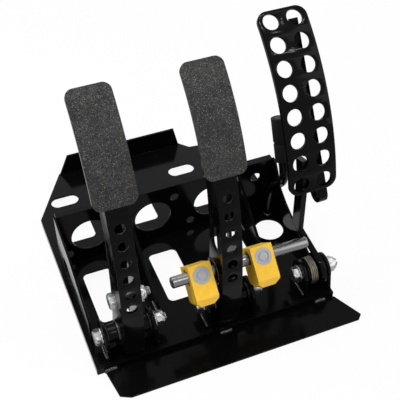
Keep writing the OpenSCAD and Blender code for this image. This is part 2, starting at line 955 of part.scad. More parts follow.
module throttle_arm() {
    rib_a0 = throttle_a0 - throttle_end_a / 2;
    rib_a1 = throttle_a0 + row_a;
    rib_y = throttle_arc_y - (throttle_back_r - arm_rib / 2) * cos(throttle_a0);
    rib_z = throttle_arc_z + (throttle_back_r - arm_rib / 2) * sin(throttle_a0);
    color([0.05, 0.05, 0.055])
        difference() {
            union() {
                translate([arm_x, 0, 0])
                    across(throttle_arm_t)
                        front_band(throttle_arc_y, throttle_arc_z, throttle_back_r - seat_gap,
                            throttle_back_r - seat_gap - arm_rib, rib_a0, rib_a1);
                hull() {
                    arm_cut(arm_x, rib_y + 1, rib_z);
                    arm_cut(arm_x, arm_top_y, arm_top_h);
                }
                hull() {
                    arm_cut(arm_x, arm_top_y, arm_top_h);
                    arm_cut(arm_x, arm_bend_y, arm_bend_h);
                }
                hull() {
                    arm_cut(arm_x, arm_bend_y, arm_bend_h);
                    arm_cut(arm_foot_x, arm_foot_y, pivot_h + throttle_hub_d / 2 + 1);
                }
                at_pivot(arm_foot_x)
                    x_rod(throttle_hub_d + 8, -throttle_arm_t / 2, throttle_arm_t / 2);
            }
            at_pivot(arm_foot_x)
                x_rod(throttle_hub_d + 2 * seat_gap, -throttle_arm_t, throttle_arm_t);
        }
}

// The strap across the bow of the pad's back, with a loop below the pad's lower end
module throttle_strap() {
    strap_t = 2.5;
    strap_w = 8;
    loop_r = 9;
    loop_drop = 6;
    loop_leg = 14;
    a_mid = (throttle_a0 - throttle_end_a + throttle_a1) / 2;
    a_half = throttle_a1 - a_mid;
    seat_r = throttle_back_r - seat_gap;
    chord_y = -seat_r * cos(a_half);
    chord_z = seat_r * sin(a_half);
    color([0.05, 0.05, 0.055])
        translate([throttle_x + throttle_columns / 2, throttle_arc_y, throttle_arc_z])
            rotate([-a_mid, 0, 0])
                across(strap_w) {
                    translate([chord_y + loop_r, -chord_z - loop_drop])
                        difference() {
                            circle(loop_r);
                            circle(loop_r - strap_t);
                            translate([-loop_r, 0])
                                square([2 * loop_r, loop_r]);
                        }
                    translate([chord_y, -chord_z - loop_drop - eps])
                        square([strap_t, 2 * chord_z + loop_drop]);
                    translate([chord_y + 2 * loop_r - strap_t, -chord_z - loop_drop - eps])
                        square([strap_t, loop_leg]);
                }
}

module throttle_hub() {
    color([0.08, 0.08, 0.085])
        pivot_tube(hub_x, throttle_ear_gap, throttle_hub_d);
}

module throttle_bushes() {
    bushes(hub_x, throttle_ear_gap, hub_l / 2 - 1);
}

// A point of the spring's coil, t degrees along its helix
function spring_point(t) = [
    spring_x0 + spring_pitch * t / 360,
    pivot_y + spring_r * sin(t),
    pivot_h + spring_r * cos(t)];

module throttle_spring() {
    turns = [for (i = [0:spring_turns * spring_steps]) spring_point(180 + i * 360 / spring_steps)];
    leg_end = [spring_x0, pivot_y + spring_leg, deck_h + spring_wire / 2 + seat_gap];
    color([0.6, 0.57, 0.5])
        wire(concat([leg_end], turns), spring_wire, 8);
}

module throttle_stop_bar() {
    rise = [for (i = [0:stop_steps]) curve_point(stop_foot, stop_low, stop_mid, stop_high, i / stop_steps)];
    color([0.05, 0.05, 0.055])
        wire(concat([stop_foot - [0, 0, eps]], rise, [stop_top]), stop_d, 16);
}

module throttle_stop_sleeve() {
    v = stop_top - stop_high;
    l = norm(v);
    groove = 2;
    color([0.12, 0.12, 0.12])
        translate(stop_high)
            rotate([0, acos(v[2] / l), atan2(v[1], v[0])])
                difference() {
                    translate([0, 0, 3])
                        cylinder(d = sleeve_d, h = l - 3);
                    translate([0, 0, 2])
                        cylinder(d = stop_d + 2 * seat_gap, h = l);
                    translate([0, 0, l * 0.45])
                        difference() {
                            cylinder(d = sleeve_d + 2, h = groove);
                            cylinder(d = sleeve_d - 2, h = 3 * groove, center = true);
                        }
                }
}

floor_tray();
heel_plate();
back_plate();
left_side_panel();
right_side_panel();
clutch_gusset();
brake_gusset();
clutch_ears();
brake_ears();
throttle_ears();
throttle_stop_bar();
throttle_stop_sleeve();
pedal_pivot_bolts();
throttle_pivot_bolt();
pivot_nuts();
pivot_washers();
clutch_arm();
clutch_pad_plate();
clutch_grip();
clutch_pivot_tube();
clutch_bushes();
clutch_rod_bolt();
clutch_rod_nut();
brake_arm();
brake_pad_plate();
brake_grip();
brake_pivot_tube();
brake_bushes();
balance_tube();
bearing_ring();
bearing_ball();
balance_bar();
left_barrel();
right_barrel();
left_clevis();
right_clevis();
throttle_pad();
throttle_arm();
throttle_strap();
throttle_hub();
throttle_bushes();
throttle_spring();
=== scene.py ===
"""Looks of a floor-mounted pedal box: coated sheet, zinc fasteners, gold trunnions and gritted pads."""

import json
import math

import bmesh
import bpy
import numpy as np
from bpy.props import FloatProperty, FloatVectorProperty, IntProperty, PointerProperty
from mathutils import Matrix, Vector


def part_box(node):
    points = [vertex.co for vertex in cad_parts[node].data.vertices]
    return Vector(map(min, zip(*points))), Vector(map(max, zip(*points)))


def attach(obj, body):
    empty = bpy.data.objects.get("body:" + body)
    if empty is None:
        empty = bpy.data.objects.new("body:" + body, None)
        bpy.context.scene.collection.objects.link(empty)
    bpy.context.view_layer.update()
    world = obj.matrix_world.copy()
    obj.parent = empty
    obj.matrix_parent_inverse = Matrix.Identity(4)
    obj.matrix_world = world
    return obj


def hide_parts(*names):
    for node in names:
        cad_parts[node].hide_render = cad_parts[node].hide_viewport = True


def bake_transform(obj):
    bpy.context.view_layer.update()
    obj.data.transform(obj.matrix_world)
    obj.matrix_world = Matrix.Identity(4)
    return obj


bl_info = {
    "name": "Pedal Box Looks",
    "version": (1, 0, 0),
    "blender": (4, 5, 0),
    "location": "View3D > Sidebar > Pedal Box",
    "description": "Finishes, fasteners, weld beads and stage for a floor-mounted pedal box",
    "category": "Object",
}

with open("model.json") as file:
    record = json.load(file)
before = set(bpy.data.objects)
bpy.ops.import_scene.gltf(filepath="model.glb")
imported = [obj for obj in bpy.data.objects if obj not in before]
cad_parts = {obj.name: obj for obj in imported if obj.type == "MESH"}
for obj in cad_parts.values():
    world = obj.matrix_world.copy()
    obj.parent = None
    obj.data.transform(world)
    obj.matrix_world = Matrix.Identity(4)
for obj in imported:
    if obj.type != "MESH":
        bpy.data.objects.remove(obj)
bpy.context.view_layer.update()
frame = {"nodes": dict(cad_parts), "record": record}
NODES = frame["nodes"]
MM = 0.001
# Edges above SHARP are shaded as edges, those above CORNER are rounded, and faces within FLAT are merged
SHARP = math.radians(32)
CORNER = math.radians(35)
FLAT = math.radians(0.4)


def box_array(node):
    """Lowest and highest corner of a CAD node, as two rows in metres."""
    return np.array([list(corner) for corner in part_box(node)])


PIVOT = box_array("clutch_pivot_tube").mean(0)
BRAKE_X = box_array("balance_tube").mean(0)[0]
THROTTLE_X = box_array("throttle_pad").mean(0)[0]
DECK = box_array("clutch_gusset")[0, 2]
EARS = ("clutch_ears", "brake_ears", "throttle_ears")


class CoatSettings(bpy.types.PropertyGroup):
    """The gloss black powder coat."""

    colour: FloatVectorProperty(
        name="Coat Colour", description="Colour of the powder coat", subtype="COLOR",
        default=(0.0022, 0.0022, 0.0025),
    )
    peel: FloatProperty(
        name="Peel Size", description="Spacing of the orange peel", default=1.3 * MM, min=0.2 * MM,
        unit="LENGTH",
    )
    edge: FloatProperty(
        name="Edge Round", description="Rounding of the coated edges", default=0.35 * MM, min=0, unit="LENGTH"
    )


class MetalSettings(bpy.types.PropertyGroup):
    """Bare and plated metals."""

    zinc: FloatVectorProperty(
        name="Zinc", description="Colour of the zinc plating", subtype="COLOR", default=(0.4, 0.41, 0.425)
    )
    steel: FloatVectorProperty(
        name="Steel", description="Colour of turned and ground steel", subtype="COLOR",
        default=(0.17, 0.171, 0.174),
    )
    barrel: FloatVectorProperty(
        name="Barrel", description="Colour of the turned barrels", subtype="COLOR", default=(0.33, 0.33, 0.34)
    )
    gold: FloatVectorProperty(
        name="Gold", description="Colour of the anodised clevises", subtype="COLOR",
        default=(0.97, 0.57, 0.035),
    )
    spring: FloatVectorProperty(
        name="Spring", description="Colour of the spring wire", subtype="COLOR", default=(0.2, 0.18, 0.145)
    )
    tilt: FloatProperty(
        name="Trunnion Tilt", description="Tilt of the barrels' axes", default=math.radians(46),
        subtype="ANGLE",
    )


class GripSettings(bpy.types.PropertyGroup):
    """Gritted sheets, rubber and polymer."""

    grit: FloatVectorProperty(
        name="Grit", description="Middle colour of the grit", subtype="COLOR", default=(0.032, 0.0312, 0.0305)
    )
    grain: FloatProperty(
        name="Grain Size", description="Size of one grain of grit", default=0.5 * MM, min=0.1 * MM,
        unit="LENGTH",
    )
    rubber: FloatVectorProperty(
        name="Rubber", description="Colour of the stop's sleeve", subtype="COLOR",
        default=(0.005, 0.005, 0.005),
    )
    polymer: FloatVectorProperty(
        name="Polymer", description="Colour of the pivot bushes", subtype="COLOR", default=(0.01, 0.01, 0.01)
    )


class FastenerSettings(bpy.types.PropertyGroup):
    """Bolts and nuts."""

    shank: FloatProperty(
        name="Bolt Diameter", description="Diameter of the bolts", default=8 * MM, min=4 * MM, unit="LENGTH"
    )
    flats: FloatProperty(
        name="Across Flats", description="Width of the hexagons across flats", default=13 * MM, unit="LENGTH"
    )
    head: FloatProperty(
        name="Head Height", description="Height of the heads", default=5.44 * MM, unit="LENGTH"
    )
    nut: FloatProperty(name="Nut Height", description="Height of the nuts", default=8 * MM, unit="LENGTH")
    washer: FloatProperty(
        name="Washer", description="Thickness of the washers", default=1.6 * MM, unit="LENGTH"
    )
    pitch: FloatProperty(
        name="Thread Pitch", description="Pitch of the thread", default=1.25 * MM, unit="LENGTH"
    )


class WeldSettings(bpy.types.PropertyGroup):
    """Weld beads under the coat."""

    radius: FloatProperty(name="Bead Radius", description="Radius of a bead", default=1.9 * MM, unit="LENGTH")
    ripple: FloatProperty(
        name="Ripple", description="Spacing of the ripples", default=1.7 * MM, unit="LENGTH"
    )


class SpringSettings(bpy.types.PropertyGroup):
    """The throttle's torsion spring and stop bar."""

    wire: FloatProperty(name="Wire", description="Diameter of the wire", default=1.6 * MM, unit="LENGTH")
    coil: FloatProperty(
        name="Coil Radius", description="Radius of the coil", default=12.1 * MM, unit="LENGTH"
    )
    turns: IntProperty(name="Turns", description="Number of turns", default=4, min=1)
    leg: FloatProperty(name="Leg", description="Reach of the lower leg", default=20 * MM, unit="LENGTH")
    stop: FloatProperty(
        name="Stop Bar", description="Diameter of the stop bar", default=8 * MM, unit="LENGTH"
    )


class StageSettings(bpy.types.PropertyGroup):
    """Camera, lights and floor."""

    azimuth: FloatProperty(
        name="Azimuth", description="Camera's angle to the left of the driver's line",
        default=math.radians(22), subtype="ANGLE",
    )
    elevation: FloatProperty(
        name="Elevation", description="Camera's angle above the floor", default=math.radians(44.27),
        subtype="ANGLE",
    )
    eye: FloatVectorProperty(
        name="Eye", description="Place of the camera", subtype="XYZ", unit="LENGTH",
        default=(-0.1828, -0.3894, 0.6003),
    )
    lens: FloatProperty(name="Lens", description="Focal length on a 36 mm sensor", default=74.78)
    ambient: FloatProperty(name="Ambient", description="Strength of the surrounding light", default=0.35)


def settings(kind):
    """The property group of one kind, from the scene."""
    return getattr(bpy.context.scene, "pedal_box_" + kind)


# Surfaces


def put_mesh(name, grids, body, finish, replaced=()):
    """Makes one piece from grids of points, each given as (points, wrap_u, wrap_v), with quads between
    neighbours. It rides on its body, or is left unattached where the body is None."""
    points = []
    faces = []
    start = 0
    for grid, wrap_u, wrap_v in grids:
        rows, cols = grid.shape[:2]
        index = start + np.arange(rows * cols).reshape(rows, cols)
        u0 = index if wrap_u else index[:-1]
        u1 = np.roll(index, -1, 0) if wrap_u else index[1:]
        corners = [u0, u1, np.roll(u1, -1, 1), np.roll(u0, -1, 1)]
        quads = np.stack(corners, -1)
        if not wrap_v:
            quads = quads[:, :-1]
        points.append(grid.reshape(-1, 3))
        faces.append(quads.reshape(-1, 4))
        start += rows * cols
    points = np.concatenate(points)
    faces = np.concatenate(faces)
    mesh = bpy.data.meshes.new(name)
    mesh.vertices.add(len(points))
    mesh.vertices.foreach_set("co", points.astype(np.float32).ravel())
    mesh.loops.add(faces.size)
    mesh.loops.foreach_set("vertex_index", faces.ravel().astype(np.int32))
    mesh.polygons.add(len(faces))
    mesh.polygons.foreach_set("loop_start", np.arange(0, faces.size, 4, dtype=np.int32))
    mesh.polygons.foreach_set("use_smooth", np.ones(len(faces), bool))
    mesh.update(calc_edges=True)
    close_and_point_out(mesh)
    mesh.set_sharp_from_angle(angle=SHARP)
    piece = bpy.data.objects.new(name, mesh)
    bpy.context.scene.collection.objects.link(piece)
    mesh.materials.append(finish)
    if body:
        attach(piece, body)
    if replaced:
        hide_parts(*replaced)
    return piece


def close_and_point_out(mesh):
    """Merges doubled points at poles and seams, and turns all the faces outwards."""
    work = bmesh.new()
    work.from_mesh(mesh)
    bmesh.ops.remove_doubles(work, verts=work.verts, dist=1e-6)
    bmesh.ops.dissolve_degenerate(work, edges=work.edges, dist=1e-7)
    bmesh.ops.recalc_face_normals(work, faces=work.faces)
    work.to_mesh(mesh)
    work.free()


def hexagon_reach(angle, flats):
    """Reach of a hexagon by angle: half its flats over the cosine of the angle to the nearest flat."""
    return flats / 2 / np.cos((angle + math.pi / 6) % (math.pi / 3) - math.pi / 6)


def turned_x(origin, along, radius, count=96):
    """A surface turned about X: circles of the given radii, one at each distance along the axis."""
    angle = np.linspace(0, 2 * math.pi, count, endpoint=False)
    along = np.asarray(along, float)[:, None]
    radius = np.asarray(radius, float)
    radius = radius[:, None] if radius.ndim == 1 else radius
    x = origin[0] + along + 0 * angle
    y = origin[1] + radius * np.cos(angle)
    z = origin[2] + radius * np.sin(angle)
    return np.stack([x, y, z], -1)


def hexagon_x(origin, along, limit, flats, count=96):
    """A hexagonal bar along X, whose reach is the lesser of the hexagon's and of a turned limit."""
    angle = np.linspace(0, 2 * math.pi, count, endpoint=False)
    reach = np.minimum(hexagon_reach(angle, flats)[None, :], np.asarray(limit, float)[:, None])
    return turned_x(origin, along, reach, count)


def bolt_head(origin, x0, x1, flats):
    """A hexagon head from its chamfered outer face at x0 to its washer face at x1."""
    step = math.copysign(1, x1 - x0)
    chamfer = x0 + step * 0.1 * flats
    collar = x1 - step * 0.035 * flats
    along = [x0, x0, x0, chamfer, collar, collar, x1, x1]
    limit = np.array([1e-4, 0.3, 0.465, 0.6, 0.6, 0.47, 0.47, 0.2]) * flats
    return hexagon_x(origin, along, limit, flats)


def lock_nut(origin, x0, x1, flats, shank):
    """A lock nut: a hexagon chamfered at both ends, then a rounded collar, with a bore for the shank."""
    length = x1 - x0
    share = np.array([0, 0, 0.09, 0.66, 0.75, 0.75, 0.9, 0.97, 1, 1, 0.92])
    limit = np.array([0.32, 0.47, 0.6, 0.6, 0.5, 0.47, 0.46, 0.44, 0.41, 0.33, 0.32]) * flats
    limit[[0, -1]] = shank / 2 * 1.01
    return hexagon_x(origin, x0 + share * length, limit, flats)


def threaded_shank(origin, x0, x1, thread, shank, pitch):
    """A round shank from x0 to x1 whose last part has a thread: the radius drops in a zigzag that goes once
    round the axis for each pitch, starts gently, and tapers over the last pitch."""
    plain = turned_x(origin, [x0, x1 - thread], [shank / 2, shank / 2])
    rows = max(int(thread / pitch * 8), 8)
    angle = np.linspace(0, 2 * math.pi, 96, endpoint=False)
    along = np.linspace(x1 - thread, x1, rows)
    wave = ((along[:, None] - x1) / pitch - angle[None, :] / (2 * math.pi)) % 1
    depth = 0.54 * pitch * np.abs(2 * wave - 1)
    fade = np.clip((along - x1 + thread) / pitch, 0, 1)[:, None]
    taper = np.clip(1 - (x1 - along) / pitch, 0, 1)[:, None] * 0.55 * pitch
    radius = np.minimum(shank / 2 - depth * fade, shank / 2 - taper)
    screw = turned_x(origin, along, radius)
    end = turned_x(origin, [x1, x1], np.stack([radius[-1], 0 * radius[-1] + 1e-5]))
    return [(plain, False, True), (screw, False, True), (end, False, True)]


def swept(path, radius, sides=20, hint=(1, 0, 0)):
    """A round skin along a path: circles square to it, of one radius or of one for each point."""
    path = np.asarray(path, float)
    way = np.gradient(path, axis=0)
    way /= np.linalg.norm(way, axis=1, keepdims=True)
    side = np.asarray(hint, float) - way * (way @ np.asarray(hint, float))[:, None]
    side /= np.linalg.norm(side, axis=1, keepdims=True)
    lift = np.cross(way, side)
    angle = np.linspace(0, 2 * math.pi, sides, endpoint=False)
    radius = np.broadcast_to(np.asarray(radius, float), (len(path),))[:, None, None]
    ring = np.cos(angle)[None, :, None] * side[:, None] + np.sin(angle)[None, :, None] * lift[:, None]
    return path[:, None] + radius * ring


def capped(path, radius, **options):
    """A swept skin whose two ends close to a point."""
    skin = swept(path, radius, **options)
    first = np.broadcast_to(skin[:1].mean(1, keepdims=True), skin[:1].shape)
    last = np.broadcast_to(skin[-1:].mean(1, keepdims=True), skin[-1:].shape)
    return np.concatenate([first, skin, last])


def bead(start, end, radius, ripple):
    """A straight weld bead: a swept skin whose radius rises at both ends and swells once for each ripple,
    about a line that waves a little up and down."""
    start = np.asarray(start, float)
    end = np.asarray(end, float)
    length = np.linalg.norm(end - start)
    rows = max(int(length / ripple * 7), 16)
    t = np.linspace(0, 1, rows)
    lean = 0.25 * radius * np.sin(9 * t + 40 * start[0])[:, None] * np.array([0, 0, 1.0])
    path = start + (end - start) * t[:, None] + 0.4 * lean
    rise = np.sqrt(np.clip(1 - np.abs(2 * t - 1) ** 10, 0.02, 1))
    swell = 1 + 0.11 * np.abs(np.sin(math.pi * t * length / ripple))
    hint = (0, 0, 1) if abs(end[2] - start[2]) < 0.5 * length else (1, 0, 0)
    return capped(path, radius * rise * swell, sides=14, hint=hint)


def ring_bead(middle, axis, reach, radius, ripple):
    """A weld bead round a tube: a circle of the given reach about an axis, with a rippled round skin."""
    count = max(int(2 * math.pi * reach / ripple) * 6, 60)
    angle = np.linspace(0, 2 * math.pi, count, endpoint=False)
    first = np.array([0, 1.0, 0]) if axis != 1 else np.array([1.0, 0, 0])
    second = np.array([0, 0, 1.0]) if axis != 2 else np.array([1.0, 0, 0])
    outward = np.cos(angle)[:, None] * first + np.sin(angle)[:, None] * second
    swell = 1 + 0.1 * np.abs(np.sin(angle * int(math.pi * reach / ripple)))
    turn = np.linspace(0, 2 * math.pi, 12, endpoint=False)
    along = np.zeros(3)
    along[axis] = 1
    size = (radius * swell)[:, None, None]
    skin = np.cos(turn)[None, :, None] * outward[:, None] + np.sin(turn)[None, :, None] * along
    return np.asarray(middle, float) + reach * outward[:, None] + size * skin


# Shaders


def lay(tree, kind, inputs=None, **attributes):
    """Adds one shader node, sets its attributes and fills its inputs: sockets are linked, values are set."""
    item = tree.nodes.new(kind)
    for key, value in attributes.items():
        setattr(item, key, value)
    for key, value in (inputs or {}).items():
        if isinstance(value, bpy.types.NodeSocket):
            tree.links.new(value, item.inputs[key])
        else:
            item.inputs[key].default_value = value
    return item


def first_of(tree, kind):
    """The first node of a type in a tree."""
    return next(item for item in tree.nodes if item.type == kind)


def new_group(name, inputs, outputs):
    """An empty shader group with float, vector or colour inputs and float or colour outputs."""
    group = bpy.data.node_groups.new(name, "ShaderNodeTree")
    for label, kind, value in inputs:
        socket = group.interface.new_socket(label, in_out="INPUT", socket_type=kind)
        if value is not None:
            socket.default_value = value
    for label, kind in outputs:
        group.interface.new_socket(label, in_out="OUTPUT", socket_type=kind)
    return group, group.nodes.new("NodeGroupInput").outputs, group.nodes.new("NodeGroupOutput").inputs


def noise(tree, place, scale, detail):
    """Noise at a place, from 0 to 1."""
    inputs = {"Vector": place, "Scale": scale, "Detail": detail}
    return lay(tree, "ShaderNodeTexNoise", inputs).outputs[0]


def ramp(tree, source, low, high, to_low, to_high):
    """Maps a value from one range to another, held at the ends."""
    inputs = {"Value": source, "From Min": low, "From Max": high, "To Min": to_low, "To Max": to_high}
    return lay(tree, "ShaderNodeMapRange", inputs, clamp=True).outputs[0]


def reckon(tree, operation, *terms):
    """The result of one sum on one or two terms."""
    return lay(tree, "ShaderNodeMath", dict(enumerate(terms)), operation=operation).outputs[0]


def scaled(tree, colour, level):
    """A colour times a level."""
    inputs = {0: colour, "Scale": level}
    return lay(tree, "ShaderNodeVectorMath", inputs, operation="SCALE").outputs[0]


def tinted(tree, share, colour, tint):
    """A colour with a share of a constant tint mixed in, by the colour sockets of the Mix node."""
    inputs = {0: share, 6: colour, 7: opaque(tint)}
    return lay(tree, "ShaderNodeMix", inputs, data_type="RGBA").outputs[2]


def opaque(colour):
    """A colour with full alpha."""
    return (*colour, 1.0)


MARKS = (("Colour", "NodeSocketColor"), ("Roughness", "NodeSocketFloat"), ("Height", "NodeSocketFloat"))


def peel_group():
    """Orange peel and marks of a coat: fine noise is its height, slow noise its gloss, specks its dust."""
    group, given, out = new_group(
        "coat_peel",
        [("Vector", "NodeSocketVector", None), ("Scale", "NodeSocketFloat", 800.0),
         ("Base", "NodeSocketColor", None), ("Smooth", "NodeSocketFloat", 0.16),
         ("Dull", "NodeSocketFloat", 0.34)],
        MARKS,
    )
    place = given["Vector"]
    fine = noise(group, place, given["Scale"], 1.5)
    slow = noise(group, place, 28.0, 4.0)
    specks = noise(group, place, 420.0, 3.0)
    dust = ramp(group, specks, 0.66, 0.78, 0.0, 0.35)
    group.links.new(tinted(group, dust, given["Base"], (0.03, 0.029, 0.028)), out["Colour"])
    group.links.new(ramp(group, slow, 0.35, 0.7, given["Smooth"], given["Dull"]), out["Roughness"])
    group.links.new(fine, out["Height"])
    return group


def grit_group():
    """Grains of grit: random cells give each grain a tone, their middles stand up, and a few get painted
    highlights.
    """
    group, given, out = new_group(
        "mineral_grit",
        [("Vector", "NodeSocketVector", None), ("Scale", "NodeSocketFloat", 1500.0),
         ("Base", "NodeSocketColor", None)],
        MARKS,
    )
    place = given["Vector"]
    cells = lay(group, "ShaderNodeTexVoronoi", {"Vector": place, "Scale": given["Scale"]}).outputs
    tone = lay(group, "ShaderNodeSeparateColor", {0: cells["Color"]}).outputs
    shade = ramp(group, tone[0], 0.0, 1.0, 0.2, 2.0)
    worn = ramp(group, noise(group, place, 90.0, 5.0), 0.35, 0.7, 0.8, 1.25)
    grain = scaled(group, given["Base"], reckon(group, "MULTIPLY", shade, worn))
    # Painted highlight: a few grains are lightened towards a pale grey to stand in for their sparkle, and
    # their roughness also drops
    painted_glint = ramp(group, tone[1], 0.94, 0.98, 0.0, 1.0)
    group.links.new(tinted(group, painted_glint, grain, (0.17, 0.17, 0.17)), out["Colour"])
    group.links.new(ramp(group, painted_glint, 0.0, 1.0, 0.85, 0.3), out["Roughness"])
    group.links.new(ramp(group, cells["Distance"], 0.0, 0.8, 1.0, 0.0), out["Height"])
    return group


def scuff_group():
    """Brushed or plated metal: noise drawn out in one direction gives streaks, even noise gives patches."""
    group, given, out = new_group(
        "metal_scuff",
        [("Vector", "NodeSocketVector", None), ("Base", "NodeSocketColor", None),
         ("Smooth", "NodeSocketFloat", 0.2), ("Dull", "NodeSocketFloat", 0.42),
         ("Depth", "NodeSocketFloat", 0.25)],
        MARKS,
    )
    place = given["Vector"]
    drawn = lay(group, "ShaderNodeMapping", {"Scale": (1.0, 9.0, 9.0), "Vector": place}).outputs[0]
    streaks = noise(group, drawn, 350.0, 4.0)
    patches = noise(group, place, 260.0, 4.0)
    level = ramp(group, patches, 0.3, 0.7, given["Depth"], 1.0)
    group.links.new(scaled(group, given["Base"], level), out["Colour"])
    group.links.new(ramp(group, streaks, 0.3, 0.7, given["Smooth"], given["Dull"]), out["Roughness"])
    group.links.new(streaks, out["Height"])
    return group


def rings_group():
    """Turned rings: the sine of the distance from an axis along Y gives grooves."""
    group, given, out = new_group(
        "turned_rings",
        [("Vector", "NodeSocketVector", None), ("Spacing", "NodeSocketFloat", 9000.0)],
        [("Height", "NodeSocketFloat")],
    )
    flat = lay(group, "ShaderNodeVectorMath", {0: given["Vector"], 1: (1, 0, 1)}, operation="MULTIPLY")
    reach = lay(group, "ShaderNodeVectorMath", {0: flat.outputs[0]}, operation="LENGTH").outputs["Value"]
    wave = reckon(group, "SINE", reckon(group, "MULTIPLY", reach, given["Spacing"]))
    group.links.new(ramp(group, wave, -1.0, 1.0, 0.0, 1.0), out["Height"])
    return group


def finish_material(name, effect, values, bump, **constants):
    """A material whose colour, roughness and bump come from one effect group, with the rest constant."""
    material = bpy.data.materials.new(name)
    material.use_nodes = True
    tree = material.node_tree
    shader = first_of(tree, "BSDF_PRINCIPLED")
    place = lay(tree, "ShaderNodeTexCoord").outputs["Object"]
    marks = lay(tree, "ShaderNodeGroup", {"Vector": place, **values}, node_tree=effect).outputs
    strength, depth = bump
    raised = {"Strength": strength, "Distance": depth, "Height": marks["Height"]}
    relief = lay(tree, "ShaderNodeBump", raised).outputs["Normal"]
    tree.links.new(marks["Colour"], shader.inputs["Base Color"])
    tree.links.new(marks["Roughness"], shader.inputs["Roughness"])
    tree.links.new(relief, shader.inputs["Normal"])
    for key, value in constants.items():
        shader.inputs[key.replace("_", " ")].default_value = value
    return material


def make_finishes():
    """Builds the effect groups once and every finish from them."""
    coat = settings("coat")
    metal = settings("metal")
    grip = settings("grip")
    peel = peel_group()
    grit = grit_group()
    scuff = scuff_group()
    rings = rings_group()
    finishes = {
        "black_coat": finish_material(
            "gloss_black_coat", peel,
            {"Base": opaque(coat.colour), "Scale": 1 / coat.peel, "Smooth": 0.08, "Dull": 0.2},
            (0.06, 0.1 * MM), Specular_IOR_Level=0.065,
        ),
        "weld_coat": finish_material(
            "glossy_weld_coat", peel,
            {"Base": opaque(coat.colour), "Smooth": 0.05, "Dull": 0.12},
            (0.04, 0.1 * MM), Specular_IOR_Level=0.5,
        ),
        "sleeve_rubber": finish_material(
            "sleeve_rubber", peel,
            {"Base": opaque(grip.rubber), "Scale": 2200.0, "Smooth": 0.55, "Dull": 0.75},
            (0.25, 0.1 * MM), Specular_IOR_Level=0.12,
        ),
        "bush_polymer": finish_material(
            "bush_polymer", peel,
            {"Base": opaque(grip.polymer), "Scale": 1800.0, "Smooth": 0.4, "Dull": 0.6},
            (0.15, 0.1 * MM), Specular_IOR_Level=0.35,
        ),
        "grip_sheet": finish_material(
            "gritted_sheet", grit,
            {"Base": opaque(grip.grit), "Scale": 1 / grip.grain},
            (0.6, 0.25 * MM), Specular_IOR_Level=0.25,
        ),
        "zinc": finish_material(
            "bright_zinc", scuff,
            {"Base": opaque(metal.zinc), "Smooth": 0.2, "Dull": 0.34, "Depth": 0.82},
            (0.02, 0.05 * MM), Metallic=1.0,
        ),
        "turned_steel": finish_material(
            "turned_steel", scuff,
            {"Base": opaque(metal.steel), "Smooth": 0.28, "Dull": 0.34, "Depth": 0.93},
            (0.006, 0.05 * MM), Metallic=1.0,
        ),
        "balance_bar": finish_material(
            "ground_bar", scuff,
            {"Base": opaque(metal.steel), "Smooth": 0.24, "Dull": 0.3, "Depth": 0.94},
            (0.004, 0.05 * MM), Metallic=1.0,
        ),
        "bearing_steel": finish_material(
            "bearing_steel", scuff,
            {"Base": opaque(metal.steel), "Smooth": 0.1, "Dull": 0.2, "Depth": 0.85},
            (0.02, 0.05 * MM), Metallic=1.0,
        ),
        "gold_anodised": finish_material(
            "gold_anodised", scuff,
            {"Base": opaque(metal.gold), "Smooth": 0.34, "Dull": 0.46, "Depth": 0.9},
            (0.02, 0.05 * MM), Metallic=0.2,
        ),
        "spring_steel": finish_material(
            "spring_wire", scuff,
            {"Base": opaque(metal.spring), "Smooth": 0.3, "Dull": 0.5, "Depth": 0.6},
            (0.06, 0.05 * MM), Metallic=1.0,
        ),
    }
    for node in ("left_barrel", "right_barrel"):
        finishes[node] = barrel_finish(node, finishes["turned_steel"], rings)
    return finishes


def barrel_finish(node, base, rings):
    """Turned steel with rings about the barrel's own axis, put at the pattern's middle by a Mapping node."""
    metal = settings("metal")
    material = base.copy()
    material.name = node + "_steel"
    tree = material.node_tree
    marks = first_of(tree, "GROUP")
    for key, value in {"Base": opaque(metal.barrel), "Smooth": 0.34, "Dull": 0.44}.items():
        marks.inputs[key].default_value = value
    upright = Matrix.Rotation(metal.tilt, 3, "X")
    middle = upright @ Vector(box_array(node).mean(0))
    place = lay(tree, "ShaderNodeTexCoord").outputs["Object"]
    centring = {"Vector": place, "Location": -middle, "Rotation": (metal.tilt, 0, 0)}
    centred = lay(tree, "ShaderNodeMapping", centring).outputs[0]
    grooves = lay(tree, "ShaderNodeGroup", {"Vector": centred}, node_tree=rings).outputs["Height"]
    relief = first_of(tree, "BUMP").outputs["Normal"]
    raised = {"Strength": 0.35, "Distance": 0.08 * MM, "Height": grooves, "Normal": relief}
    turned = lay(tree, "ShaderNodeBump", raised).outputs["Normal"]
    tree.links.new(turned, first_of(tree, "BSDF_PRINCIPLED").inputs["Normal"])
    return material


FINISHES = {}


class PEDALBOX_OT_finishes(bpy.types.Operator):
    """Gives every CAD node its finish and softens the coated edges"""

    bl_idname = "pedal_box.finishes"
    bl_label = "Finishes"

    def execute(self, context):
        FINISHES.update(make_finishes())
        for row in frame["record"]["subparts"]:
            node = NODES[row["node"]]
            finish = FINISHES.get(row["node"], FINISHES[row["material_slot"]])
            node.data.materials.clear()
            node.data.materials.append(finish)
            if row["material_slot"] in ("black_coat", "gold_anodised", "sleeve_rubber", "zinc"):
                soften(node, settings("coat").edge)
        return {"FINISHED"}


def soften(node, width):
    """Rounds a node's corners by modifiers that join its triangles, merge the flat ones and bevel."""
    node.modifiers.new("join", "WELD").merge_threshold = 1e-6
    flat = node.modifiers.new("flat", "DECIMATE")
    flat.decimate_type = "DISSOLVE"
    flat.angle_limit = FLAT
    edge = node.modifiers.new("edge", "BEVEL")
    edge.width = width
    edge.segments = 2
    edge.limit_method = "ANGLE"
    edge.angle_limit = CORNER
    edge.harden_normals = True


